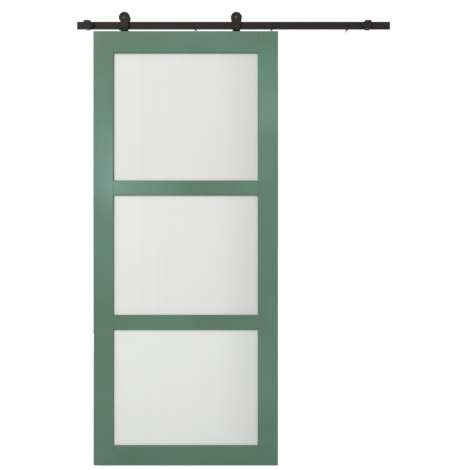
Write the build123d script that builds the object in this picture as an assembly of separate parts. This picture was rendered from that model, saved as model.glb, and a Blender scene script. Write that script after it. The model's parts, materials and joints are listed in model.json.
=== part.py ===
from build123d import *
import math
import os

# A glazed timber door leaf that hangs from a flat steel rail on two grooved wheels.
# Millimetres. X runs along the rail, Y from the leaf's front to its back and Z is up.
# The origin is on the first fixing screw's axis, level with the back ends of the spacers.

# Door leaf
leaf_width = 868.0
leaf_height = 2040.0
leaf_thickness = 40.0
stile_width = 95.0
top_rail_width = 102.0
middle_rail_width = 71.0
bottom_rail_width = 92.0
top_pane_height = 599.0
middle_pane_height = 562.0
outer_arris = 1.5
wall_gap = 10.0

# Moulded edge and rebate round every pane
sticking = 4.0
lip_depth = 8.0
rebate = 10.0

# Mortise and tenon joints
tenon_length = 55.0
tenon_thickness = 12.0
tenon_shoulder = 10.0
tenon_haunch = 20.0
mortise_end_gap = 2.0

# Glazing
glass_thickness = 5.0
glass_edge_gap = 3.0
seal_thickness = 1.5
seal_inset = 1.0
bead_chamfer = 4.0
block_length = 60.0
pin_width = 1.2
pin_length = 25.0
pin_end_inset = 70.0
pins_per_bead = 3

# Groove under the leaf for a floor guide
groove_width = 10.0
groove_depth = 18.0

# Flat rail, its spacers and its fixing screws
rail_height = 35.0
rail_thickness = 6.0
rail_edge_chamfer = 0.8
rail_to_leaf_gap = 13.0
fixing_count = 4
fixing_spacing = 364.0
rail_end_overhang = 192.0
spacer_radius = 8.0
screw_shank_radius = 4.0
screw_thread_radius = 3.6
screw_hole_slack = 0.5
screw_head_radius = 8.0
screw_head_depth = 4.4
screw_wall_length = 45.0
screw_tip_length = 6.0

# Grooved wheel
tread_radius = 16.2
tread_width = 7.0
flange_overlap = 9.0
flange_taper = 2.5
flange_rim = 2.5
rim_chamfer = 0.8
tread_gap = 0.3
flange_to_spacer_gap = 0.5

# Sealed ball bearing in each wheel
bearing_radius = 11.0
bearing_width = 7.0
ring_wall = 2.3
ball_radius = 1.95
ball_count = 7
race_sides = 12
race_gap = 0.08
seal_ring_thickness = 0.8
seal_ring_recess = 0.4
seal_ring_gap = 0.3
bearing_lip = 1.5
circlip_thickness = 1.0
circlip_bite = 0.6
circlip_width = 1.6
circlip_gap = 3.0

# Axle
axle_radius = 4.0
axle_head_radius = 8.0
axle_head_height = 5.0
axle_end_stub = 1.5
bush_wall = 2.0
bush_past_wheel = 1.0
nut_flats = 13.0
nut_height = 8.0
nut_collar_height = 2.0
fit_slack = 0.02

# Hanger strap and the folded foot on the leaf's top edge
head_radius = 26.0
strap_width = 36.0
strap_thickness = 5.0
strap_proud = 2.5
strap_lift = 3.0
strap_edge_chamfer = 0.8
neck_fillet = 8.0
leg_thickness = 4.0
leg_to_rail_gap = 3.0
leg_height = 23.0
bend_inner_radius = 1.5
foot_back_inset = 5.0
bolt_rise = 12.0
bolt_spacing = 16.0
bolt_radius = 4.0
bolt_head_radius = 7.0
bolt_head_height = 4.4
foot_screw_spacing = 18.0
foot_screw_radius = 2.5
foot_screw_pilot_radius = 2.2
foot_screw_head_radius = 4.75
foot_screw_head_depth = 2.6
foot_screw_length = 45.0
foot_screw_point = 5.0
hanger_left_inset = 146.0
hanger_right_inset = 196.0

# End stops clamped on the rail
stop_length = 30.0
stop_front_wall = 15.5
stop_back_wall = 4.5
stop_bridge = 3.0
stop_sill = 1.5
stop_corner_radius = 8.0
stop_edge_chamfer = 1.5
stop_rail_slack = 0.2
stop_left_inset = 34.0
stop_right_inset = 90.0
bumper_length = 14.0
bumper_width = 9.0
bumper_height = 24.0
bumper_rise = 5.0
bumper_wheel_gap = 0.5
bumper_fillet = 2.5
bumper_screw_radius = 2.0
bumper_screw_head_radius = 3.3
bumper_screw_head_height = 3.0
bumper_screw_sink = 6.0
bumper_screw_grip = 10.0
clamp_screw_radius = 2.5
clamp_head_radius = 4.3
clamp_head_height = 3.0
clamp_screw_inset = 5.0
rest_travel = 129.1

# Proportions of the fasteners' heads and sockets
dome_rim_share = 0.3
head_edge_share = 0.12
socket_depth_share = 0.6
socket_flats_share = 1.25

# Places that follow from the sizes
flange_radius = tread_radius + flange_overlap
wheel_width = tread_width + 2 * (flange_taper + flange_rim)

leaf_front = -(wall_gap + leaf_thickness)
leaf_back = -wall_gap
strap_front = leaf_front - strap_proud
strap_back = strap_front + strap_thickness
leg_back = strap_back + leg_thickness
rail_front = leg_back + leg_to_rail_gap
rail_back = rail_front + rail_thickness
rail_middle = (rail_front + rail_back) / 2

rail_top = flange_overlap + flange_to_spacer_gap + spacer_radius
rail_bottom = rail_top - rail_height
axle_height = rail_top + tread_gap + tread_radius
rail_left = -rail_end_overhang
rail_right = (fixing_count - 1) * fixing_spacing + rail_end_overhang

leaf_top = rail_bottom - rail_to_leaf_gap
leaf_bottom = leaf_top - leaf_height
bumper_left_face = rail_left + stop_left_inset + stop_length + bumper_length
hanger_left_x = bumper_left_face + rest_travel + strap_width / 2
leaf_left = hanger_left_x - hanger_left_inset
leaf_right = leaf_left + leaf_width
leaf_middle = (leaf_left + leaf_right) / 2
hanger_right_x = leaf_right - hanger_right_inset
sight_left = leaf_left + stile_width
sight_right = leaf_right - stile_width

seat_depth = leaf_front + lip_depth
glass_front = seat_depth + seal_thickness
glass_back = glass_front + glass_thickness

# Heights of the cross rails and of the openings between them, from the top down
top_pane = (leaf_top - top_rail_width - top_pane_height, leaf_top - top_rail_width)
middle_pane_top = top_pane[0] - middle_rail_width
middle_pane = (middle_pane_top - middle_pane_height, middle_pane_top)
bottom_pane = (leaf_bottom + bottom_rail_width, middle_pane[0] - middle_rail_width)
panes = {"top": top_pane, "middle": middle_pane, "bottom": bottom_pane}
cross_rails = {
    "top_rail": (top_pane[1], leaf_top),
    "upper_middle_rail": (middle_pane[1], top_pane[0]),
    "lower_middle_rail": (bottom_pane[1], middle_pane[0]),
    "bottom_rail": (leaf_bottom, bottom_pane[0]),
}
hangers = {"left": hanger_left_x, "right": hanger_right_x}


# Helpers

def block(x, y, z):
    # A box from three (low, high) pairs
    size = [high - low for low, high in (x, y, z)]
    middle = [(high + low) / 2 for low, high in (x, y, z)]
    return Pos(*middle) * Box(*size)


def facing(origin, direction):
    # A place whose local Z runs along the direction
    return Plane(origin=origin, z_dir=direction).location


def turned(outline):
    # A solid of revolution about Z, from an outline of radius and height
    return revolve(Plane.XZ * make_face(outline), Axis.Z)


def tube(outer, inner, start, end):
    ring = Circle(outer) - Circle(inner)
    return Pos(0, 0, start) * extrude(ring, end - start)


def hexagon(across_flats):
    return RegularPolygon(across_flats / 2, 6, major_radius=False)


def save(name, solids):
    shape = solids[0] if len(solids) == 1 else Compound(children=solids)
    export_step(shape, f"parts/{name}.step")


# Fasteners, each with its shank along local Z and its head's seat or flush face at Z = 0

def socket(shank_r, head_h):
    # The hexagon recess for a key, in a head of that height on a shank of that radius
    return extrude(hexagon(shank_r * socket_flats_share), head_h * socket_depth_share)


def dome_bolt(head_r, head_h, shank_r, length):
    rim = head_h * dome_rim_share
    rise = head_h - rim
    ball = (head_r ** 2 + rise ** 2) / (2 * rise)
    half_angle = math.asin(head_r / ball) / 2
    halfway = (ball * math.sin(half_angle), -head_h + ball * (1 - math.cos(half_angle)))
    outline = ThreePointArc((0, -head_h), halfway, (head_r, -rim))
    outline += Polyline(
        (head_r, -rim), (head_r, 0), (shank_r, 0), (shank_r, length), (0, length), (0, -head_h),
    )
    return turned(outline) - Pos(0, 0, -head_h) * socket(shank_r, head_h)


def cap_screw(head_r, head_h, shank_r, length):
    edge = head_h * head_edge_share
    outline = Polyline(
        (0, -head_h), (head_r - edge, -head_h), (head_r, -head_h + edge), (head_r, 0),
        (shank_r, 0), (shank_r, length), (0, length), close=True,
    )
    return turned(outline) - Pos(0, 0, -head_h) * socket(shank_r, head_h)


def wall_screw():
    # Flat head in the rail, plain shank through the spacer, and a free end on the thread's core
    shank_end = -rail_front
    end = shank_end + screw_wall_length
    outline = Polyline(
        (0, 0), (screw_head_radius, 0), (screw_shank_radius, screw_head_depth),
        (screw_shank_radius, shank_end), (screw_thread_radius, shank_end),
        (screw_thread_radius, end - screw_tip_length), (0, end), close=True,
    )
    return turned(outline) - socket(screw_shank_radius, screw_head_depth)


def foot_screw():
    outline = Polyline(
        (0, 0), (foot_screw_head_radius, 0), (foot_screw_radius, foot_screw_head_depth),
        (foot_screw_radius, foot_screw_length - foot_screw_point), (0, foot_screw_length), close=True,
    )
    return turned(outline) - socket(foot_screw_radius, foot_screw_head_depth)


def countersink(head_r, depth, hole_r, through):
    # The cutter for a flat head that ends flush
    outline = Polyline((0, 0), (head_r, 0), (hole_r, depth), (hole_r, through), (0, through), close=True)
    return turned(outline)


# Timber frame

def tenon_heights(low, high):
    # Height range of a cross rail's tenons, clear of the rebates and of the floor groove
    lower = low + (groove_depth if low == leaf_bottom else rebate) + tenon_shoulder
    upper = high - (tenon_haunch if high == leaf_top else rebate + tenon_shoulder)
    return lower, upper


def tenon(low, high, start, end):
    middle = (leaf_front + leaf_back) / 2
    depth = (middle - tenon_thickness / 2, middle + tenon_thickness / 2)
    return block((start, end), depth, tenon_heights(low, high))


def floor_groove():
    middle = (leaf_front + leaf_back) / 2
    depth = (middle - groove_width / 2, middle + groove_width / 2)
    return block((leaf_left, leaf_right), depth, (leaf_bottom, leaf_bottom + groove_depth))


def left_stile():
    profile = Polyline(
        (leaf_left + outer_arris, leaf_front), (sight_left - sticking, leaf_front),
        (sight_left, leaf_front + sticking), (sight_left, seat_depth),
        (sight_left - rebate, seat_depth), (sight_left - rebate, leaf_back),
        (leaf_left + outer_arris, leaf_back), (leaf_left, leaf_back - outer_arris),
        (leaf_left, leaf_front + outer_arris), close=True,
    )
    stile = Pos(0, 0, leaf_bottom) * extrude(make_face(profile), leaf_height, dir=(0, 0, 1))
    for low, high in cross_rails.values():
        stile -= tenon(low, high, sight_left - tenon_length - mortise_end_gap, sight_left)
    return stile - floor_groove()


def cross_rail(low, high, left, right):
    # Moulded and rebated towards each pane, then scribed over the stiles' moulding
    if low == leaf_bottom:
        under = [(leaf_front, low), (leaf_back, low)]
    else:
        under = [
            (leaf_front, low + sticking), (leaf_front + sticking, low), (seat_depth, low),
            (seat_depth, low + rebate), (leaf_back, low + rebate),
        ]
    if high == leaf_top:
        over = [(leaf_back, high), (leaf_front, high)]
    else:
        over = [
            (leaf_back, high - rebate), (seat_depth, high - rebate), (seat_depth, high),
            (leaf_front + sticking, high), (leaf_front, high - sticking),
        ]
    profile = Plane.YZ * make_face(Polyline(*under, *over, close=True))
    reach = max(rebate, sticking)
    length = sight_right - sight_left + 2 * reach
    rail = Pos(sight_left - reach, 0, 0) * extrude(profile, length, dir=(1, 0, 0))
    rail = rail - left - right
    rail += tenon(low, high, sight_left - tenon_length, sight_left)
    rail += tenon(low, high, sight_right, sight_right + tenon_length)
    return rail


def timber_frame():
    left = left_stile()
    right = mirror(left, about=Plane(origin=(leaf_middle, 0, 0), z_dir=(1, 0, 0)))
    save("stile_left", [left])
    save("stile_right", [right])
    for name, (low, high) in cross_rails.items():
        rail = cross_rail(low, high, left, right)
        if name == "bottom_rail":
            rail -= floor_groove()
        if name == "top_rail":
            for place in foot_screw_places():
                rail -= place * Cylinder(foot_screw_pilot_radius, 2 * foot_screw_length)
        save(name, [rail])


# Glazing

def pane_box(low, high, margin, depth):
    # A slab over one opening, larger than the sight size by the margin all round
    return block((sight_left - margin, sight_right + margin), depth, (low - margin, high + margin))


def glass(low, high):
    return pane_box(low, high, rebate - glass_edge_gap, (glass_front, glass_back))


def glazing_seal(low, high):
    depth = (seat_depth, glass_front)
    return pane_box(low, high, rebate - glass_edge_gap, depth) - pane_box(low, high, seal_inset, depth)


def setting_blocks(low):
    heights = (low - rebate, low - rebate + glass_edge_gap)
    quarter = (sight_right - sight_left) / 4
    half = block_length / 2
    centres = (sight_left + quarter, sight_right - quarter)
    return [block((x - half, x + half), (glass_front, glass_back), heights) for x in centres]


def bead_sides(low, high):
    # Each side's two sight corners, and the way outwards from the pane
    return {
        "left": ((sight_left, low), (sight_left, high), (-1, 0)),
        "right": ((sight_right, high), (sight_right, low), (1, 0)),
        "upper": ((sight_left, high), (sight_right, high), (0, 1)),
        "lower": ((sight_right, low), (sight_left, low), (0, -1)),
    }


def bead(start, end, middle):
    # A mitred strip as high as the rebate, chamfered where it shows at the back
    def pushed_out(corner):
        x_way = math.copysign(rebate, corner[0] - middle[0])
        z_way = math.copysign(rebate, corner[1] - middle[1])
        return corner[0] + x_way, corner[1] + z_way

    outline = Polyline(start, end, pushed_out(end), pushed_out(start), close=True)
    face = Plane.XZ * make_face(outline)
    strip = Pos(0, glass_back, 0) * extrude(face, leaf_back - glass_back, dir=(0, 1, 0))
    shown = ((start[0] + end[0]) / 2, leaf_back, (start[1] + end[1]) / 2)
    return chamfer(strip.edges().sort_by_distance(shown)[0], bead_chamfer)


def bead_pins(start, end, outwards):
    # Square brads driven from the bead's sight face into the timber behind it
    depth = (glass_back + leaf_back - bead_chamfer) / 2
    run = math.dist(start, end)
    pins = []
    for number in range(pins_per_bead):
        share = (pin_end_inset + number * (run - 2 * pin_end_inset) / (pins_per_bead - 1)) / run
        x = start[0] + share * (end[0] - start[0])
        z = start[1] + share * (end[1] - start[1])
        pin = extrude(Rectangle(pin_width, pin_width), pin_length)
        pins.append(facing((x, depth, z), (outwards[0], 0, outwards[1])) * pin)
    return pins


def glazing():
    pins = []
    blocks = []
    for name, (low, high) in panes.items():
        save(f"glass_{name}", [glass(low, high)])
        save(f"glazing_seal_{name}", [glazing_seal(low, high)])
        blocks += setting_blocks(low)
        middle = (leaf_middle, (low + high) / 2)
        for side, (start, end, outwards) in bead_sides(low, high).items():
            save(f"bead_{name}_{side}", [bead(start, end, middle)])
            pins += bead_pins(start, end, outwards)
    save("setting_blocks", blocks)
    save("bead_pins", pins)


# Track

def fixing_places():
    places = [number * fixing_spacing for number in range(fixing_count)]
    return [facing((x, rail_front, 0), (0, 1, 0)) for x in places]


def flat_rail():
    profile = RectangleRounded(rail_thickness, rail_height, rail_edge_chamfer)
    bar = extrude(Plane.YZ * profile, rail_right - rail_left, dir=(1, 0, 0))
    rail = Pos(rail_left, rail_middle, (rail_top + rail_bottom) / 2) * bar
    hole_radius = screw_shank_radius + screw_hole_slack
    hole = countersink(screw_head_radius, screw_head_depth, hole_radius, 2 * rail_thickness)
    for place in fixing_places():
        rail -= place * hole
    return rail


def spacer():
    # Carries the rail's back face and ends level with the origin
    return tube(spacer_radius, screw_shank_radius + screw_hole_slack, rail_thickness, -rail_front)


# Stops, drawn for the left end with the bumper towards positive X from X = 0

def stop_body():
    height = rail_height + stop_bridge + stop_sill
    middle = (rail_top + stop_bridge + rail_bottom - stop_sill) / 2
    outline = Pos(-stop_length / 2, middle) * Rectangle(stop_length, height)
    by_corner = outline.vertices().sort_by(lambda corner: corner.X + corner.Y)
    outline = fillet(by_corner[:-1], stop_corner_radius)
    depth = stop_front_wall + rail_thickness + stop_back_wall
    body = Pos(0, rail_front - stop_front_wall, 0) * extrude(Plane.XZ * outline, depth, dir=(0, 1, 0))
    front_rim = body.faces().sort_by(Axis.Y)[0].edges()
    body = chamfer(front_rim, stop_edge_chamfer)
    slack = stop_rail_slack
    body -= block(
        (-2 * stop_length, stop_length), (rail_front - slack, rail_back + slack),
        (rail_bottom - slack, rail_top + slack),
    )
    body -= clamp_screw_place() * Cylinder(clamp_screw_radius + fit_slack, 2 * stop_bridge)
    body -= bumper_screw_place() * Cylinder(bumper_screw_radius + fit_slack, 2 * bumper_screw_grip)
    return body


def clamp_screw_place():
    return facing((-clamp_screw_inset, rail_middle, rail_top + stop_bridge), (0, 0, -1))


def bumper_centre():
    # Clear of the wheel's front flange and against the strap's straight edge
    depth = rail_middle - wheel_width / 2 - bumper_wheel_gap - bumper_width / 2
    return depth, rail_bottom + bumper_rise + bumper_height / 2


def bumper_screw_place():
    depth, height = bumper_centre()
    return facing((0, depth, height), (-1, 0, 0))


def bumper():
    depth, height = bumper_centre()
    pad = block(
        (0, bumper_length), (depth - bumper_width / 2, depth + bumper_width / 2),
        (height - bumper_height / 2, height + bumper_height / 2),
    )
    pad = fillet(pad.faces().sort_by(Axis.X)[-1].edges(), bumper_fillet)
    well = extrude(Circle(bumper_screw_head_radius + fit_slack), bumper_screw_sink)
    well = Pos(0, 0, -bumper_length) * well
    hole = Cylinder(bumper_screw_radius + fit_slack, 2 * bumper_length)
    return pad - bumper_screw_place() * (well + hole)


def bumper_screw():
    seat = bumper_length - bumper_screw_sink
    screw = cap_screw(
        bumper_screw_head_radius, bumper_screw_head_height,
        bumper_screw_radius, seat + bumper_screw_grip,
    )
    return bumper_screw_place() * (Pos(0, 0, -seat) * screw)


def clamp_screw():
    # Its end bears on the rail's top edge
    screw = cap_screw(clamp_head_radius, clamp_head_height, clamp_screw_radius, stop_bridge)
    return clamp_screw_place() * screw


def at_left_stop(piece):
    return Pos(rail_left + stop_left_inset + stop_length, 0, 0) * piece


def at_right_stop(piece):
    turned_round = mirror(piece, about=Plane.YZ)
    return Pos(rail_right - stop_right_inset - stop_length, 0, 0) * turned_round


def track():
    save("rail", [flat_rail()])
    save("rail_spacers", [place * spacer() for place in fixing_places()])
    save("rail_screws", [place * wall_screw() for place in fixing_places()])
    for side, at_stop in (("left", at_left_stop), ("right", at_right_stop)):
        save(f"stop_{side}", [at_stop(stop_body())])
        save(f"bumper_{side}", [at_stop(bumper())])
    save("stop_clamp_screws", [at_left_stop(clamp_screw()), at_right_stop(clamp_screw())])
    save("bumper_screws", [at_left_stop(bumper_screw()), at_right_stop(bumper_screw())])


# Hangers, drawn at X = 0

def strap():
    neck = axle_height - leaf_top - strap_lift
    outline = Pos(0, axle_height) * Circle(head_radius)
    outline += Pos(0, leaf_top + strap_lift + neck / 2) * Rectangle(strap_width, neck)
    shoulders = [
        corner for corner in outline.vertices()
        if abs(abs(corner.X) - strap_width / 2) < 0.01 and corner.Y > rail_bottom
    ]
    outline = fillet(shoulders, neck_fillet)
    plate = Pos(0, strap_front, 0) * extrude(Plane.XZ * outline, strap_thickness, dir=(0, 1, 0))
    plate = chamfer(plate.faces().sort_by(Axis.Y)[0].edges(), strap_edge_chamfer)
    axle_place = facing((0, strap_front, axle_height), (0, 1, 0))
    plate -= axle_place * Cylinder(axle_radius + fit_slack, 4 * strap_thickness)
    for place in bolt_places():
        plate -= place * Cylinder(bolt_radius + fit_slack, 4 * strap_thickness)
    return plate


def bolt_places():
    height = leaf_top + bolt_rise
    return [facing((x, strap_front, height), (0, 1, 0)) for x in (-bolt_spacing / 2, bolt_spacing / 2)]


def folded_foot():
    # One strip of steel folded at a right angle, standing on the leaf's top edge
    outer = bend_inner_radius + leg_thickness
    back = leaf_back - foot_back_inset
    strip = Polyline((strap_back, leaf_top + leg_height), (strap_back, leaf_top + outer))
    strip += RadiusArc((strap_back, leaf_top + outer), (strap_back + outer, leaf_top), -outer)
    strip += Polyline(
        (strap_back + outer, leaf_top), (back, leaf_top), (back, leaf_top + leg_thickness),
        (strap_back + outer, leaf_top + leg_thickness),
    )
    strip += RadiusArc(
        (strap_back + outer, leaf_top + leg_thickness), (leg_back, leaf_top + outer), bend_inner_radius,
    )
    strip += Polyline(
        (leg_back, leaf_top + outer), (leg_back, leaf_top + leg_height),
        (strap_back, leaf_top + leg_height),
    )
    foot = Pos(-strap_width / 2, 0, 0) * extrude(Plane.YZ * make_face(strip), strap_width, dir=(1, 0, 0))
    for place in bolt_places():
        foot -= place * Cylinder(bolt_radius + fit_slack, 4 * strap_thickness)
    hole_radius = foot_screw_radius + fit_slack
    sink = countersink(foot_screw_head_radius, foot_screw_head_depth, hole_radius, 2 * leg_thickness)
    for place in foot_screw_places_at(0):
        foot -= place * sink
    return foot


def foot_screw_places_at(hanger_x):
    depth = (leg_back + leaf_back - foot_back_inset) / 2
    top = leaf_top + leg_thickness
    offsets = (-foot_screw_spacing / 2, foot_screw_spacing / 2)
    return [facing((hanger_x + offset, depth, top), (0, 0, -1)) for offset in offsets]


def foot_screw_places():
    return foot_screw_places_at(hanger_left_x) + foot_screw_places_at(hanger_right_x)


# Wheel, bearing and axle, along local Z with Z = 0 at the rail's middle plane

def wheel():
    half = wheel_width / 2
    pocket = bearing_radius + fit_slack
    half_tread = tread_width / 2
    groove_half = bearing_width / 2
    profile = Polyline(
        (bearing_radius - bearing_lip, -half), (flange_radius - rim_chamfer, -half),
        (flange_radius, -half + rim_chamfer), (flange_radius, -half_tread - flange_taper),
        (tread_radius, -half_tread), (tread_radius, half_tread),
        (flange_radius, half_tread + flange_taper), (flange_radius, half - rim_chamfer),
        (flange_radius - rim_chamfer, half), (pocket, half),
        (pocket, groove_half + circlip_thickness),
        (pocket + circlip_bite, groove_half + circlip_thickness),
        (pocket + circlip_bite, groove_half), (pocket, groove_half),
        (pocket, -groove_half), (bearing_radius - bearing_lip, -groove_half), close=True,
    )
    return turned(profile)


def bearing_rings():
    # Outer and inner ring with the ball race cut in both, as a groove of flats
    half = bearing_width / 2
    pitch = (bearing_radius + axle_radius) / 2
    section = Pos(pitch, 0) * RegularPolygon(ball_radius + race_gap, race_sides)
    race = revolve(Plane.XZ * section, Axis.Z)
    outer = tube(bearing_radius, bearing_radius - ring_wall, -half, half) - race
    inner = tube(axle_radius + ring_wall, axle_radius + fit_slack, -half, half) - race
    return outer, inner


def bearing_ball():
    # A cube chamfered to 26 even flats inside the ball's radius, with few faces as the seals hide it
    corner_reach = (math.sqrt(2) - 1) * math.sqrt(5 + 2 * math.sqrt(2)) / 2
    side = ball_radius / corner_reach
    return chamfer(Box(side, side, side).edges(), side * (1 - math.sqrt(0.5)))


def bearing_balls():
    pitch = (bearing_radius + axle_radius) / 2
    ball = Pos(pitch, 0, 0) * bearing_ball()
    return [Rot(0, 0, number * 360 / ball_count) * ball for number in range(ball_count)]


def bearing_seals():
    outer = bearing_radius - ring_wall
    inner = axle_radius + ring_wall + seal_ring_gap
    end = bearing_width / 2 - seal_ring_recess
    start = end - seal_ring_thickness
    return [tube(outer, inner, start, end), tube(outer, inner, -end, -start)]


def circlip():
    # An open spring ring in the groove behind the bearing
    start = bearing_width / 2
    rim = bearing_radius + circlip_bite
    ring = tube(rim, bearing_radius - circlip_width, start, start + circlip_thickness)
    return ring - Pos(rim, 0, start) * Box(rim, circlip_gap, 4 * circlip_thickness)


def axle_bolt():
    nut_start = wheel_width / 2 + bush_past_wheel
    length = nut_start + nut_height + axle_end_stub - (strap_front - rail_middle)
    bolt = dome_bolt(axle_head_radius, axle_head_height, axle_radius, length)
    return Pos(0, 0, strap_front - rail_middle) * bolt


def axle_bushes():
    # Front bush from the strap to the bearing, rear bush from the bearing to the nut
    outer = axle_radius + bush_wall
    bore = axle_radius + fit_slack
    half = bearing_width / 2
    front = tube(outer, bore, strap_back - rail_middle, -half)
    rear = tube(outer, bore, half, wheel_width / 2 + bush_past_wheel)
    return [front, rear]


def axle_nut():
    # A hexagon with a round locking collar on its far end
    start = wheel_width / 2 + bush_past_wheel
    collar = nut_collar_height
    body = extrude(hexagon(nut_flats), nut_height - collar)
    body += Pos(0, 0, nut_height - collar) * extrude(Circle((nut_flats - collar) / 2), collar)
    body -= extrude(Circle(axle_radius + fit_slack), nut_height)
    return Pos(0, 0, start) * body


def hanger_sets():
    bolt = dome_bolt(bolt_head_radius, bolt_head_height, bolt_radius, leg_back - strap_front)
    bolts = []
    nuts = []
    for side, x in hangers.items():
        axle = facing((x, rail_middle, axle_height), (0, 1, 0))
        outer_ring, inner_ring = bearing_rings()
        save(f"hanger_strap_{side}", [Pos(x, 0, 0) * strap()])
        save(f"hanger_foot_{side}", [Pos(x, 0, 0) * folded_foot()])
        save(f"wheel_{side}", [axle * wheel()])
        save(f"bearing_outer_ring_{side}", [axle * outer_ring])
        save(f"bearing_inner_ring_{side}", [axle * inner_ring])
        save(f"bearing_balls_{side}", [axle * ball for ball in bearing_balls()])
        save(f"bearing_seals_{side}", [axle * seal for seal in bearing_seals()])
        save(f"circlip_{side}", [axle * circlip()])
        save(f"axle_bolt_{side}", [axle * axle_bolt()])
        save(f"axle_bushes_{side}", [axle * bush for bush in axle_bushes()])
        nuts.append(axle * axle_nut())
        bolts += [Pos(x, 0, 0) * place * bolt for place in bolt_places()]
    save("axle_nuts", nuts)
    save("hanger_bolts", bolts)
    save("foot_screws", [place * foot_screw() for place in foot_screw_places()])


os.makedirs("parts", exist_ok=True)
timber_frame()
glazing()
track()
hanger_sets()
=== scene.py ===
import json
import math
import bmesh
import bpy
from mathutils import Matrix, Vector


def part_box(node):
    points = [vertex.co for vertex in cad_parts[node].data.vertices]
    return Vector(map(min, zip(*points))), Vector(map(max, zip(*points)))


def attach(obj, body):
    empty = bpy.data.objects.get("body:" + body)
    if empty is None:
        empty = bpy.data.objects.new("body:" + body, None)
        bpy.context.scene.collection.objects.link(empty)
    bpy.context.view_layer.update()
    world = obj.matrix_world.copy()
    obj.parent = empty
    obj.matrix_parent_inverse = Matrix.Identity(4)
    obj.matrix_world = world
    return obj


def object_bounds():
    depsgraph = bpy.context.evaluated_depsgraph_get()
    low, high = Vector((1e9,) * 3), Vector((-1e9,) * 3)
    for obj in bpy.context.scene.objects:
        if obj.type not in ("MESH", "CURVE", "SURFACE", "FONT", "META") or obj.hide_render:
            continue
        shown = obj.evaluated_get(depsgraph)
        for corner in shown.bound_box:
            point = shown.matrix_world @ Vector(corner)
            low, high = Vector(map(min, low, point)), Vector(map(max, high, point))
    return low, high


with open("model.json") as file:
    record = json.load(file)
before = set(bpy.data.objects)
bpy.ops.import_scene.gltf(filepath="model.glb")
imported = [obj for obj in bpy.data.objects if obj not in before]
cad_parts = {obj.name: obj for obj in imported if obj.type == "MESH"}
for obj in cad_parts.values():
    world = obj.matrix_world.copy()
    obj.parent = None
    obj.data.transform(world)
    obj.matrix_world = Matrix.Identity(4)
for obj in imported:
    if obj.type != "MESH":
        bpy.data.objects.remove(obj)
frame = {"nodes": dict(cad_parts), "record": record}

# A painted timber door with frosted panes, on a flat black rail with two grooved wheels.
# Metres. X runs along the rail, the rail's spacers face +Y and Z is up.
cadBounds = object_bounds()
nodes = frame["nodes"]
print("frame loaded:", len(nodes), "CAD nodes")


# small helpers for colours, shader nodes and new pieces

def srgb(red, green, blue):
    # a colour as a screen shows it, 0 to 255, made linear for the shader
    def channel(value):
        value = value / 255
        return value / 12.92 if value <= 0.04045 else ((value + 0.055) / 1.055) ** 2.4
    return (channel(red), channel(green), channel(blue), 1.0)


def dimmed(colour, share):
    return tuple(channel * share for channel in colour[:3]) + (1.0,)


class Finish:
    # one Principled material and the few node recipes that every finish here uses
    def __init__(self, name, **sockets):
        self.material = bpy.data.materials.new(name)
        self.material.use_nodes = True
        self.tree = self.material.node_tree
        self.shader = self.tree.nodes["Principled BSDF"]
        self.coords = self.tree.nodes.new("ShaderNodeTexCoord").outputs["Object"]
        self.normal = None
        for socket, value in sockets.items():
            self.shader.inputs[socket.replace("_", " ")].default_value = value

    def link(self, output, node, socket):
        self.tree.links.new(output, node.inputs[socket])

    def coordinate(self, axis):
        node = self.tree.nodes.new("ShaderNodeSeparateXYZ")
        self.link(self.coords, node, 0)
        return node.outputs[axis]

    def mapped(self, scale=(1, 1, 1), location=(0, 0, 0)):
        node = self.tree.nodes.new("ShaderNodeMapping")
        node.inputs["Scale"].default_value = scale
        node.inputs["Location"].default_value = location
        self.link(self.coords, node, "Vector")
        return node.outputs["Vector"]

    def noise(self, scale, stretch=(1, 1, 1), detail=3.0, roughness=0.55, location=(0, 0, 0)):
        node = self.tree.nodes.new("ShaderNodeTexNoise")
        node.inputs["Scale"].default_value = scale
        node.inputs["Detail"].default_value = detail
        node.inputs["Roughness"].default_value = roughness
        self.link(self.mapped(stretch, location), node, "Vector")
        return node.outputs["Fac"]

    def spread(self, value, low, high, fromLow=0.3, fromHigh=0.7):
        # stretches a noise's middle range, or the range given, to the two values
        node = self.tree.nodes.new("ShaderNodeMapRange")
        node.interpolation_type = "SMOOTHSTEP"
        node.inputs["From Min"].default_value = fromLow
        node.inputs["From Max"].default_value = fromHigh
        node.inputs["To Min"].default_value = low
        node.inputs["To Max"].default_value = high
        self.link(value, node, "Value")
        return node.outputs["Result"]

    def sum(self, first, second, operation="ADD"):
        node = self.tree.nodes.new("ShaderNodeMath")
        node.operation = operation
        self.link(first, node, 0)
        if isinstance(second, (int, float)):
            node.inputs[1].default_value = second
        else:
            self.link(second, node, 1)
        return node.outputs[0]

    def mix(self, amount, first, second):
        # first and second are colours or another mix's output
        node = self.tree.nodes.new("ShaderNodeMix")
        node.data_type = "RGBA"
        self.link(amount, node, "Factor")
        for socket, colour in (("A", first), ("B", second)):
            target = [s for s in node.inputs if s.name == socket and s.type == "RGBA"][0]
            if isinstance(colour, tuple):
                target.default_value = colour
            else:
                self.tree.links.new(colour, target)
        return [s for s in node.outputs if s.type == "RGBA"][0]

    def bump(self, height, strength, distance):
        node = self.tree.nodes.new("ShaderNodeBump")
        node.inputs["Strength"].default_value = strength
        node.inputs["Distance"].default_value = distance
        self.link(height, node, "Height")
        if self.normal is not None:
            self.link(self.normal, node, "Normal")
        self.normal = node.outputs["Normal"]

    def finished(self, colour=None, roughness=None):
        if colour is not None:
            self.link(colour, self.shader, "Base Color")
        if roughness is not None:
            self.link(roughness, self.shader, "Roughness")
        if self.normal is not None:
            self.link(self.normal, self.shader, "Normal")
        return self.material


def makePiece(name, bm, material):
    mesh = bpy.data.meshes.new(name)
    bm.to_mesh(mesh)
    bm.free()
    mesh.materials.append(material)
    piece = bpy.data.objects.new(name, mesh)
    bpy.context.scene.collection.objects.link(piece)
    return piece


def middleOf(node):
    low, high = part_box(node)
    return [(a + b) / 2 for a, b in zip(low, high)]


# camera at the photograph's angle

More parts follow.
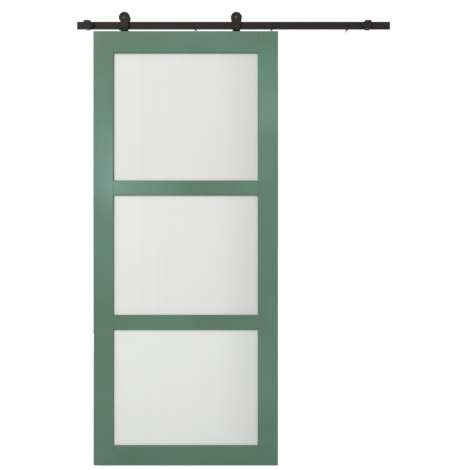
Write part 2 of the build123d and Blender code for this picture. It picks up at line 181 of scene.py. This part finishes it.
cameraSettings = {
    "place": (0.5527, -2.300, -0.894),
    "lens": 36.69,
    "sensor": 36.0,
    "shiftUp": -0.0426,
    "clipEnd": 60.0,
}


def makeCamera():
    data = bpy.data.cameras.new("camera")
    data.lens = cameraSettings["lens"]
    data.sensor_width = cameraSettings["sensor"]
    data.shift_y = cameraSettings["shiftUp"]
    data.clip_end = cameraSettings["clipEnd"]
    camera = bpy.data.objects.new("camera", data)
    camera.location = cameraSettings["place"]
    camera.rotation_euler = (math.pi / 2, 0, 0)
    bpy.context.scene.collection.objects.link(camera)
    bpy.context.scene.camera = camera


makeCamera()
print("camera placed")


# light, floor and white surroundings

studio = {
    "lamps": {
        "key": {
            "place": (-2.8, -4.0, 2.5), "size": (2.2, 2.2),
            "watts": 110.0, "colour": (1.0, 0.98, 0.93),
        },
        "leftWindow": {
            "place": (-0.53, -2.3, -0.46), "size": (0.30, 0.58),
            "watts": 6.0, "colour": (0.53, 0.80, 0.92),
        },
        "rightWindow": {
            "place": (0.89, -2.3, 0.09), "size": (0.28, 0.45),
            "watts": 2.3, "colour": (0.60, 0.90, 0.98),
        },
        "back": {
            "place": (-0.75, 2.6, -1.70), "size": (1.4, 2.2),
            "watts": 40.0, "colour": (1.0, 0.985, 0.96),
        },
    },
    "aim": (0.35, 0.0, -1.0),
    "white": (1.0, 1.0, 1.0, 1.0),
    "surroundings": {"Camera": 1.0, "Glossy": 1.0, "Transmission": 1.0, "Diffuse": 0.71},
    "floorDrop": 0.010,
    "floorHalf": 14.0,
    "floorGlow": {"Camera": 0.75, "Glossy": 0.30, "Transmission": 0.75},
    "floorMatt": (0.63, 0.66, 0.69, 1.0),
}


def makeLamp(name, settings):
    data = bpy.data.lights.new(name, "AREA")
    data.shape = "RECTANGLE"
    data.size, data.size_y = settings["size"]
    data.energy = settings["watts"]
    data.color = settings["colour"]
    lamp = bpy.data.objects.new(name, data)
    lamp.location = settings["place"]
    way = Vector(studio["aim"]) - Vector(settings["place"])
    lamp.rotation_euler = way.to_track_quat("-Z", "Y").to_euler()
    bpy.context.scene.collection.objects.link(lamp)


def lightByRay(tree, level):
    # adds up a strength for each kind of ray that the level dictionary names
    rays = tree.nodes.new("ShaderNodeLightPath")
    total = None
    for kind, strength in level.items():
        node = tree.nodes.new("ShaderNodeMath")
        node.operation = "MULTIPLY_ADD"
        tree.links.new(rays.outputs["Is %s Ray" % kind], node.inputs[0])
        node.inputs[1].default_value = strength
        node.inputs[2].default_value = 0.0
        if total is not None:
            tree.links.new(total, node.inputs[2])
        total = node.outputs[0]
    return total


def makeWorld():
    world = bpy.data.worlds.new("studio")
    bpy.context.scene.world = world
    world.use_nodes = True
    tree = world.node_tree
    background = tree.nodes["Background"]
    background.inputs["Color"].default_value = studio["white"]
    tree.links.new(lightByRay(tree, studio["surroundings"]), background.inputs["Strength"])


def floorFinish():
    # white to the eye, a plain matt surface under it, and open from beneath
    material = bpy.data.materials.new("studioFloor")
    material.use_nodes = True
    tree = material.node_tree
    tree.nodes.remove(tree.nodes["Principled BSDF"])
    matt = tree.nodes.new("ShaderNodeBsdfDiffuse")
    matt.inputs["Color"].default_value = studio["floorMatt"]
    glow = tree.nodes.new("ShaderNodeEmission")
    glow.inputs["Color"].default_value = studio["white"]
    tree.links.new(lightByRay(tree, studio["floorGlow"]), glow.inputs["Strength"])
    both = tree.nodes.new("ShaderNodeAddShader")
    tree.links.new(matt.outputs[0], both.inputs[0])
    tree.links.new(glow.outputs[0], both.inputs[1])
    clear = tree.nodes.new("ShaderNodeBsdfTransparent")
    side = tree.nodes.new("ShaderNodeNewGeometry")
    oneSided = tree.nodes.new("ShaderNodeMixShader")
    tree.links.new(side.outputs["Backfacing"], oneSided.inputs[0])
    tree.links.new(both.outputs[0], oneSided.inputs[1])
    tree.links.new(clear.outputs[0], oneSided.inputs[2])
    tree.links.new(oneSided.outputs[0], tree.nodes["Material Output"].inputs["Surface"])
    return material


def makeFloor():
    bm = bmesh.new()
    bmesh.ops.create_grid(bm, x_segments=1, y_segments=1, size=studio["floorHalf"])
    height = cadBounds[0][2] - studio["floorDrop"]
    bmesh.ops.translate(bm, verts=bm.verts, vec=(studio["aim"][0], 0, height))
    floor = makePiece("floor", bm, floorFinish())


for lampName, lampSettings in studio["lamps"].items():
    makeLamp(lampName, lampSettings)
makeWorld()
makeFloor()
bpy.context.scene.view_settings.view_transform = "Standard"
print("light and floor ready")


# painted timber

paintLook = {
    "green": srgb(89, 122, 97),
    "cooler": srgb(96, 132, 112),
    "warmer": srgb(84, 113, 91),
    "specular": 0.45,
    "roughness": (0.21, 0.28),
    "cloudScale": 2.6,
    # where the broad cloud sits, chosen to lay its painted reflection and shade in place
    "cloudPlace": (2.1, -1.5, -2.0),
    "patchScale": 7.0,
    "patchStretch": 0.4,
    "patchRange": (0.2, 0.8),
    "patchMix": (0.3, 0.8),
    "grainScale": 420.0,
    "grainStretch": 0.045,
    "grainBump": (0.16, 0.0008),
    "stippleScale": 760.0,
    "stippleBump": (0.12, 0.0004),
    "seamDark": srgb(60, 84, 67),
    "seamWidth": 0.0009,
    "seamCore": 0.35,
    "seamBump": (0.6, 0.0005),
    "faceDepth": (0.0005, 0.001),
    "sticking": 0.004,
    "rebate": 0.010,
}


def stretched(along, share):
    # the scale that draws a noise out along X or Z
    return {"x": (share, 1, 1), "z": (1, 1, share)}[along]


def paint(name, along, seams=()):
    # satin paint laid on with a small roller, over grain that runs the way of the member
    look = paintLook
    finish = Finish(name, Specular_IOR_Level=look["specular"])
    # the broad cloud drifts between a darker warm green and a lighter cool green, placed so that the
    # lighter patches stand where weaker window reflections fall and the darker ones where the paint
    # looks more shaded: partly uneven paint and partly painted reflection and shade
    cloud = finish.noise(look["cloudScale"], detail=2.0, location=look["cloudPlace"])
    patches = finish.noise(look["patchScale"], stretched(along, look["patchStretch"]), detail=0.0)
    grain = finish.noise(
        look["grainScale"], stretched(along, look["grainStretch"]), detail=4.0, roughness=0.6,
    )
    stipple = finish.noise(look["stippleScale"], detail=2.0, roughness=0.45)
    colour = finish.mix(finish.spread(cloud, 0.0, 1.0), look["warmer"], look["cooler"])
    share = finish.spread(patches, *look["patchMix"], *look["patchRange"])
    colour = finish.mix(share, look["green"], colour)
    if seams:
        line = seamLines(finish, seams)
        colour = finish.mix(line, colour, look["seamDark"])
        finish.bump(finish.sum(line, -1.0, "MULTIPLY"), *look["seamBump"])
    finish.bump(grain, *look["grainBump"])
    finish.bump(stipple, *look["stippleBump"])
    return finish.finished(colour, finish.spread(patches, *look["roughness"], *look["patchRange"]))


def seamLines(finish, seams):
    # 1 on the hairline where a cross rail's shoulder meets the stile, on the front and on the back
    width, core = paintLook["seamWidth"], paintLook["seamCore"]
    total = None
    for seamX, faceY in seams:
        near = finish.sum(finish.sum(finish.coordinate("X"), -seamX), 0.0, "ABSOLUTE")
        line = finish.spread(near, 1.0, 0.0, width * core, width)
        depth = finish.sum(finish.sum(finish.coordinate("Y"), -faceY), 0.0, "ABSOLUTE")
        onFace = finish.spread(depth, 1.0, 0.0, *paintLook["faceDepth"])
        line = finish.sum(line, onFace, "MULTIPLY")
        total = line if total is None else finish.sum(total, line, "MAXIMUM")
    return total


def shoulderSeams():
    low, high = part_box("stile_left")
    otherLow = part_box("stile_right")[0]
    frontY, backY = low[1], high[1]
    leftSight, rightSight = high[0], otherLow[0]
    sticking, rebate = paintLook["sticking"], paintLook["rebate"]
    return (
        (leftSight - sticking, frontY), (rightSight + sticking, frontY),
        (leftSight - rebate, backY), (rightSight + rebate, backY),
    )


# frosted glass

glassLook = {
    # painted light: the panes are one glass, brightened towards the bottom pane and darkened at the top
    # one to even out the lamps' fall from top to bottom
    "tintsWithPaintedLight": {
        "top": srgb(241, 237, 232),
        "middle": srgb(245, 241, 236),
        "bottom": srgb(250, 247, 242),
    },
    "palerShare": 0.965,
    "drawnMix": 0.55,
    "cloudMix": 0.35,
    "shadeShare": 0.86,
    "shadeBefore": 0.24,
    "shadePast": 0.04,
    "transmission": 0.10,
    "roughness": 0.62,
    "bending": 1.5,
    "drawnScale": 34.0,
    "drawnStretch": 0.02,
    "drawnBump": (0.05, 0.0006),
    "cloudScale": 3.0,
    "etchScale": 1500.0,
    "etchBump": (0.12, 0.0002),
}


def frostedGlass(pane):
    # etched float glass: a fine grain, faint upright draw lines and a painted shade that darkens the
    # right side of each pane
    look = glassLook
    # the pane's colour carries the painted light set for its height
    tintWithPaintedLight = look["tintsWithPaintedLight"][pane]
    paler = dimmed(tintWithPaintedLight, look["palerShare"])
    finish = Finish(
        "frostedGlass_" + pane, Roughness=look["roughness"],
        IOR=look["bending"], Transmission_Weight=look["transmission"],
    )
    drawn = finish.noise(look["drawnScale"], stretched("z", look["drawnStretch"]))
    cloud = finish.noise(look["cloudScale"], detail=1.0)
    etched = finish.noise(look["etchScale"], detail=1.0)
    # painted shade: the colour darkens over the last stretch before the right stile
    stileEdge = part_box("stile_right")[0][0]
    start, end = stileEdge - look["shadeBefore"], stileEdge + look["shadePast"]
    shade = finish.spread(finish.coordinate("X"), 0.0, 1.0, start, end)
    colour = finish.mix(finish.spread(drawn, 0.0, look["drawnMix"]), tintWithPaintedLight, paler)
    colour = finish.mix(finish.spread(cloud, 0.0, look["cloudMix"]), colour, paler)
    colour = finish.mix(shade, colour, dimmed(tintWithPaintedLight, look["shadeShare"]))
    finish.bump(etched, *look["etchBump"])
    finish.bump(drawn, *look["drawnBump"])
    return finish.finished(colour)


# powder coated and plated steel

metalLook = {
    "powder": srgb(43, 36, 34),
    "powderWorn": srgb(51, 44, 42),
    "powderSpecular": 0.12,
    "powderRoughness": (0.46, 0.58),
    "wornMix": 0.6,
    "peelScale": 620.0,
    "peelBump": (0.22, 0.0004),
    "wearScale": 26.0,
    "zincFresh": srgb(214, 214, 212),
    "zinc": srgb(176, 177, 174),
    "zincDull": srgb(146, 148, 148),
    "zincRoughness": (0.24, 0.38),
    "boltDark": srgb(90, 84, 83),
    "boltDull": srgb(72, 68, 67),
    "boltRoughness": (0.30, 0.42),
    "dullMix": 0.8,
    "blotchScale": 90.0,
    "markScale": 1800.0,
    "markStretch": (1, 0.08, 1),
    "markBump": (0.10, 0.0001),
    "headDepth": 0.0046,
    "headEdge": 0.0005,
    "screwRoughness": (0.40, 0.52),
    "screwBump": (0.12, 0.0002),
}


def peel(finish):
    return finish.noise(metalLook["peelScale"], detail=2.0, roughness=0.4)


def powderCoat():
    # satin powder coat on mild steel, with its fine orange peel
    look = metalLook
    finish = Finish("powderCoat", Specular_IOR_Level=look["powderSpecular"])
    wear = finish.noise(look["wearScale"])
    colour = finish.mix(finish.spread(wear, 0.0, look["wornMix"]), look["powder"], look["powderWorn"])
    finish.bump(peel(finish), *look["peelBump"])
    return finish.finished(colour, finish.spread(wear, *look["powderRoughness"]))


def platedSteel(name, light, dull, roughness):
    # turned or drawn steel under a thin plating, with fine tool marks across it
    look = metalLook
    finish = Finish(name, Metallic=1.0)
    marks = finish.noise(look["markScale"], stretch=look["markStretch"], detail=2.0)
    blotch = finish.noise(look["blotchScale"])
    colour = finish.mix(finish.spread(blotch, 0.0, look["dullMix"]), light, dull)
    finish.bump(marks, *look["markBump"])
    return finish.finished(colour, finish.spread(blotch, *roughness))


def paintedHeadScrew():
    # zinc plated screws whose flat heads are painted black to match the rail
    look = metalLook
    finish = Finish("paintedHeadScrew", Specular_IOR_Level=look["powderSpecular"])
    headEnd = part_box("rail_screws")[0][1] + look["headDepth"]
    bare = finish.spread(finish.coordinate("Y"), 0.0, 1.0, headEnd, headEnd + look["headEdge"])
    blotch = finish.noise(look["blotchScale"])
    zinc = finish.mix(finish.spread(blotch, 0.0, look["dullMix"]), look["zincFresh"], look["zinc"])
    black = finish.mix(finish.spread(blotch, 0.0, look["wornMix"]), look["powder"], look["powderWorn"])
    finish.link(bare, finish.shader, "Metallic")
    finish.bump(peel(finish), *look["screwBump"])
    colour = finish.mix(bare, black, zinc)
    return finish.finished(colour, finish.spread(blotch, *look["screwRoughness"]))


# nylon and rubber

nylonLook = {
    "black": srgb(24, 24, 25),
    "greyed": srgb(37, 37, 38),
    "greyedMix": 0.5,
    "specular": 0.4,
    "roughness": (0.36, 0.50),
    "ringScale": 260.0,
    "ringWobble": 0.6,
    "ringBump": (0.14, 0.0002),
    "speckScale": 900.0,
    "speckBump": (0.10, 0.0002),
}

rubberLook = {
    "seal": (srgb(58, 60, 58), srgb(74, 76, 73)),
    "buffer": (srgb(22, 22, 22), srgb(34, 34, 33)),
    "specular": 0.3,
    "roughness": (0.70, 0.88),
    "skinScale": 1100.0,
    "skinBump": (0.25, 0.0002),
    "bloomScale": 60.0,
    "bloomMix": 0.6,
}


def turnedNylon(name, centre):
    # black nylon turned on its axle: faint rings round the wheel's own centre
    look = nylonLook
    finish = Finish(name, Specular_IOR_Level=look["specular"])
    rings = finish.tree.nodes.new("ShaderNodeTexWave")
    rings.wave_type = "RINGS"
    rings.rings_direction = "Y"
    rings.inputs["Scale"].default_value = look["ringScale"]
    rings.inputs["Distortion"].default_value = look["ringWobble"]
    rings.inputs["Detail"].default_value = 1.0
    finish.link(finish.mapped(location=[-value for value in centre]), rings, "Vector")
    ring = rings.outputs["Fac"]
    speck = finish.noise(look["speckScale"], detail=2.0)
    colour = finish.mix(finish.spread(speck, 0.0, look["greyedMix"]), look["black"], look["greyed"])
    finish.bump(ring, *look["ringBump"])
    finish.bump(speck, *look["speckBump"])
    return finish.finished(colour, finish.spread(ring, *look["roughness"], 0.0, 1.0))


def rubber(name, fresh, worn):
    look = rubberLook
    finish = Finish(name, Specular_IOR_Level=look["specular"])
    skin = finish.noise(look["skinScale"])
    bloom = finish.noise(look["bloomScale"], detail=2.0)
    colour = finish.mix(finish.spread(bloom, 0.0, look["bloomMix"]), fresh, worn)
    finish.bump(skin, *look["skinBump"])
    return finish.finished(colour, finish.spread(bloom, *look["roughness"]))


# a finish for every CAD node, by its own name or else by its material slot

def assign(node, material):
    for slot in nodes[node].material_slots:
        slot.material = material


def dressCadNodes():
    look = metalLook
    bySlot = {
        "painted_timber": paint("paintUpright", "z"),
        "glazing_rubber": rubber("glazingRubber", *rubberLook["seal"]),
        "black_steel": powderCoat(),
        "bright_steel": platedSteel("zincSteel", look["zinc"], look["zincDull"], look["zincRoughness"]),
        "black_rubber": rubber("blackRubber", *rubberLook["buffer"]),
    }
    flatPaint = paint("paintLevel", "x")
    railPaint = paint("paintCrossRail", "x", shoulderSeams())
    darkSteel = platedSteel("darkSteel", look["boltDark"], look["boltDull"], look["boltRoughness"])
    byNode = {name: railPaint for name in nodes if name.endswith("_rail")}
    byNode.update({name: flatPaint for name in nodes if name.endswith(("_upper", "_lower"))})
    byNode.update({name: darkSteel for name in nodes if name.startswith(("axle_bolt", "axle_nuts"))})
    byNode.update({"glass_" + pane: frostedGlass(pane) for pane in glassLook["tintsWithPaintedLight"]})
    byNode["rail_screws"] = paintedHeadScrew()
    for side in ("left", "right"):
        wheelNode = "wheel_" + side
        byNode[wheelNode] = turnedNylon("nylon_" + side, middleOf(wheelNode))
    for part in frame["record"]["subparts"]:
        name = part["node"]
        assign(name, byNode[name] if name in byNode else bySlot[part["material_slot"]])
    return bySlot


slotFinish = dressCadNodes()
print("materials on all CAD nodes")


# threads on the free ends of the rail's screws

screwThread = {
    "pitch": 0.0036,
    "rootRadius": 0.0034,
    "crestRadius": 0.0040,
    "flankHalf": 0.0008,
    "turnSteps": 20,
    "startAfterSpacer": 0.0015,
    "endBeforeTip": 0.0062,
    "runOut": 0.004,
    "turnEach": 1.3,
}


def faceOutwards(bm):
    # a wound or spun shell can come out inside out, and its volume is below zero then
    bmesh.ops.recalc_face_normals(bm, faces=bm.faces)
    if bm.calc_volume(signed=True) < 0:
        bmesh.ops.reverse_faces(bm, faces=bm.faces)


def helix(length, settings):
    # a ridge of triangular section wound along +Y from Y = 0, thinning to nothing at both ends
    bm = bmesh.new()
    root, crest, half = settings["rootRadius"], settings["crestRadius"], settings["flankHalf"]
    corners = [bm.verts.new(place) for place in ((root, -half, 0), (crest, 0, 0), (root, half, 0))]
    face = bm.faces.new(corners)
    turns = length / settings["pitch"]
    steps = round(turns * settings["turnSteps"])
    bmesh.ops.spin(
        bm, geom=[face], cent=(0, 0, 0), axis=(0, 1, 0), dvec=(0, length / steps, 0),
        angle=turns * 2 * math.pi, steps=steps, use_duplicate=False,
    )
    for vert in bm.verts:
        radius = math.hypot(vert.co.x, vert.co.z)
        fade = min(vert.co.y, length - vert.co.y) / settings["runOut"]
        height = (radius - root) * max(0.0, min(1.0, fade))
        scale = (root + height) / radius
        vert.co.x *= scale
        vert.co.z *= scale
    faceOutwards(bm)
    return bm


def makeScrewThreads():
    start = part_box("rail_spacers")[1][1] + screwThread["startAfterSpacer"]
    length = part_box("rail_screws")[1][1] - screwThread["endBeforeTip"] - start
    mounts = frame["record"]["mounts"]
    screws = [mount["pos_m"] for mount in mounts if mount["name"].startswith("wall_screw")]
    for number, (x, _, level) in enumerate(screws, 1):
        bm = helix(length, screwThread)
        turn = Matrix.Rotation(number * screwThread["turnEach"], 3, "Y")
        bmesh.ops.rotate(bm, verts=bm.verts, cent=(0, 0, 0), matrix=turn)
        bmesh.ops.translate(bm, verts=bm.verts, vec=(x, start, level))
        thread = makePiece("screw_thread_%d" % number, bm, slotFinish["bright_steel"])
        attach(thread, "track")


makeScrewThreads()
print("threads wound")


# the locking ring that stands a little proud of each axle nut's collar

nutRing = {
    "boreRadius": 0.0041,
    "rimRadius": 0.0050,
    "deep": 0.0012,
    "proud": 0.0004,
    "rounding": 0.00018,
    "roundingSteps": 2,
    "sides": 40,
    "mergeWithin": 0.00001,
    "milky": srgb(206, 205, 198),
    "milkyDull": srgb(190, 189, 183),
    "specular": 0.4,
    "roughness": 0.5,
    "speckScale": 1400.0,
    "speckBump": (0.12, 0.0001),
}


def milkyNylon():
    look = nutRing
    finish = Finish("ringNylon", Roughness=look["roughness"], Specular_IOR_Level=look["specular"])
    speck = finish.noise(look["speckScale"], detail=2.0)
    finish.bump(speck, *look["speckBump"])
    colour = finish.mix(finish.spread(speck, 0.0, 1.0), look["milky"], look["milkyDull"])
    return finish.finished(colour)


def lockingRing(nutEnd):
    # a rounded rectangle spun once round the Y axis
    bm = bmesh.new()
    bore, rim = nutRing["boreRadius"], nutRing["rimRadius"]
    front, back = nutEnd - nutRing["deep"], nutEnd + nutRing["proud"]
    places = ((bore, front, 0), (rim, front, 0), (rim, back, 0), (bore, back, 0))
    corners = [bm.verts.new(place) for place in places]
    bm.faces.new(corners)
    bmesh.ops.bevel(
        bm, geom=corners, offset=nutRing["rounding"], segments=nutRing["roundingSteps"],
        affect="VERTICES", profile=0.5, material=-1,
    )
    bmesh.ops.delete(bm, geom=list(bm.faces), context="FACES_ONLY")
    bmesh.ops.spin(
        bm, geom=list(bm.verts) + list(bm.edges), cent=(0, 0, 0), axis=(0, 1, 0),
        angle=2 * math.pi, steps=nutRing["sides"], use_merge=True, use_duplicate=False,
    )
    bmesh.ops.remove_doubles(bm, verts=bm.verts, dist=nutRing["mergeWithin"])
    faceOutwards(bm)
    return bm


def makeNutRings():
    material = milkyNylon()
    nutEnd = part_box("axle_nuts")[1][1]
    for side in ("left", "right"):
        x, _, z = middleOf("wheel_" + side)
        bm = lockingRing(nutEnd)
        bmesh.ops.translate(bm, verts=bm.verts, vec=(x, 0, z))
        ring = makePiece("nut_ring_" + side, bm, material)
        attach(ring, "leaf")


makeNutRings()
print("locking rings set in the axle nuts")
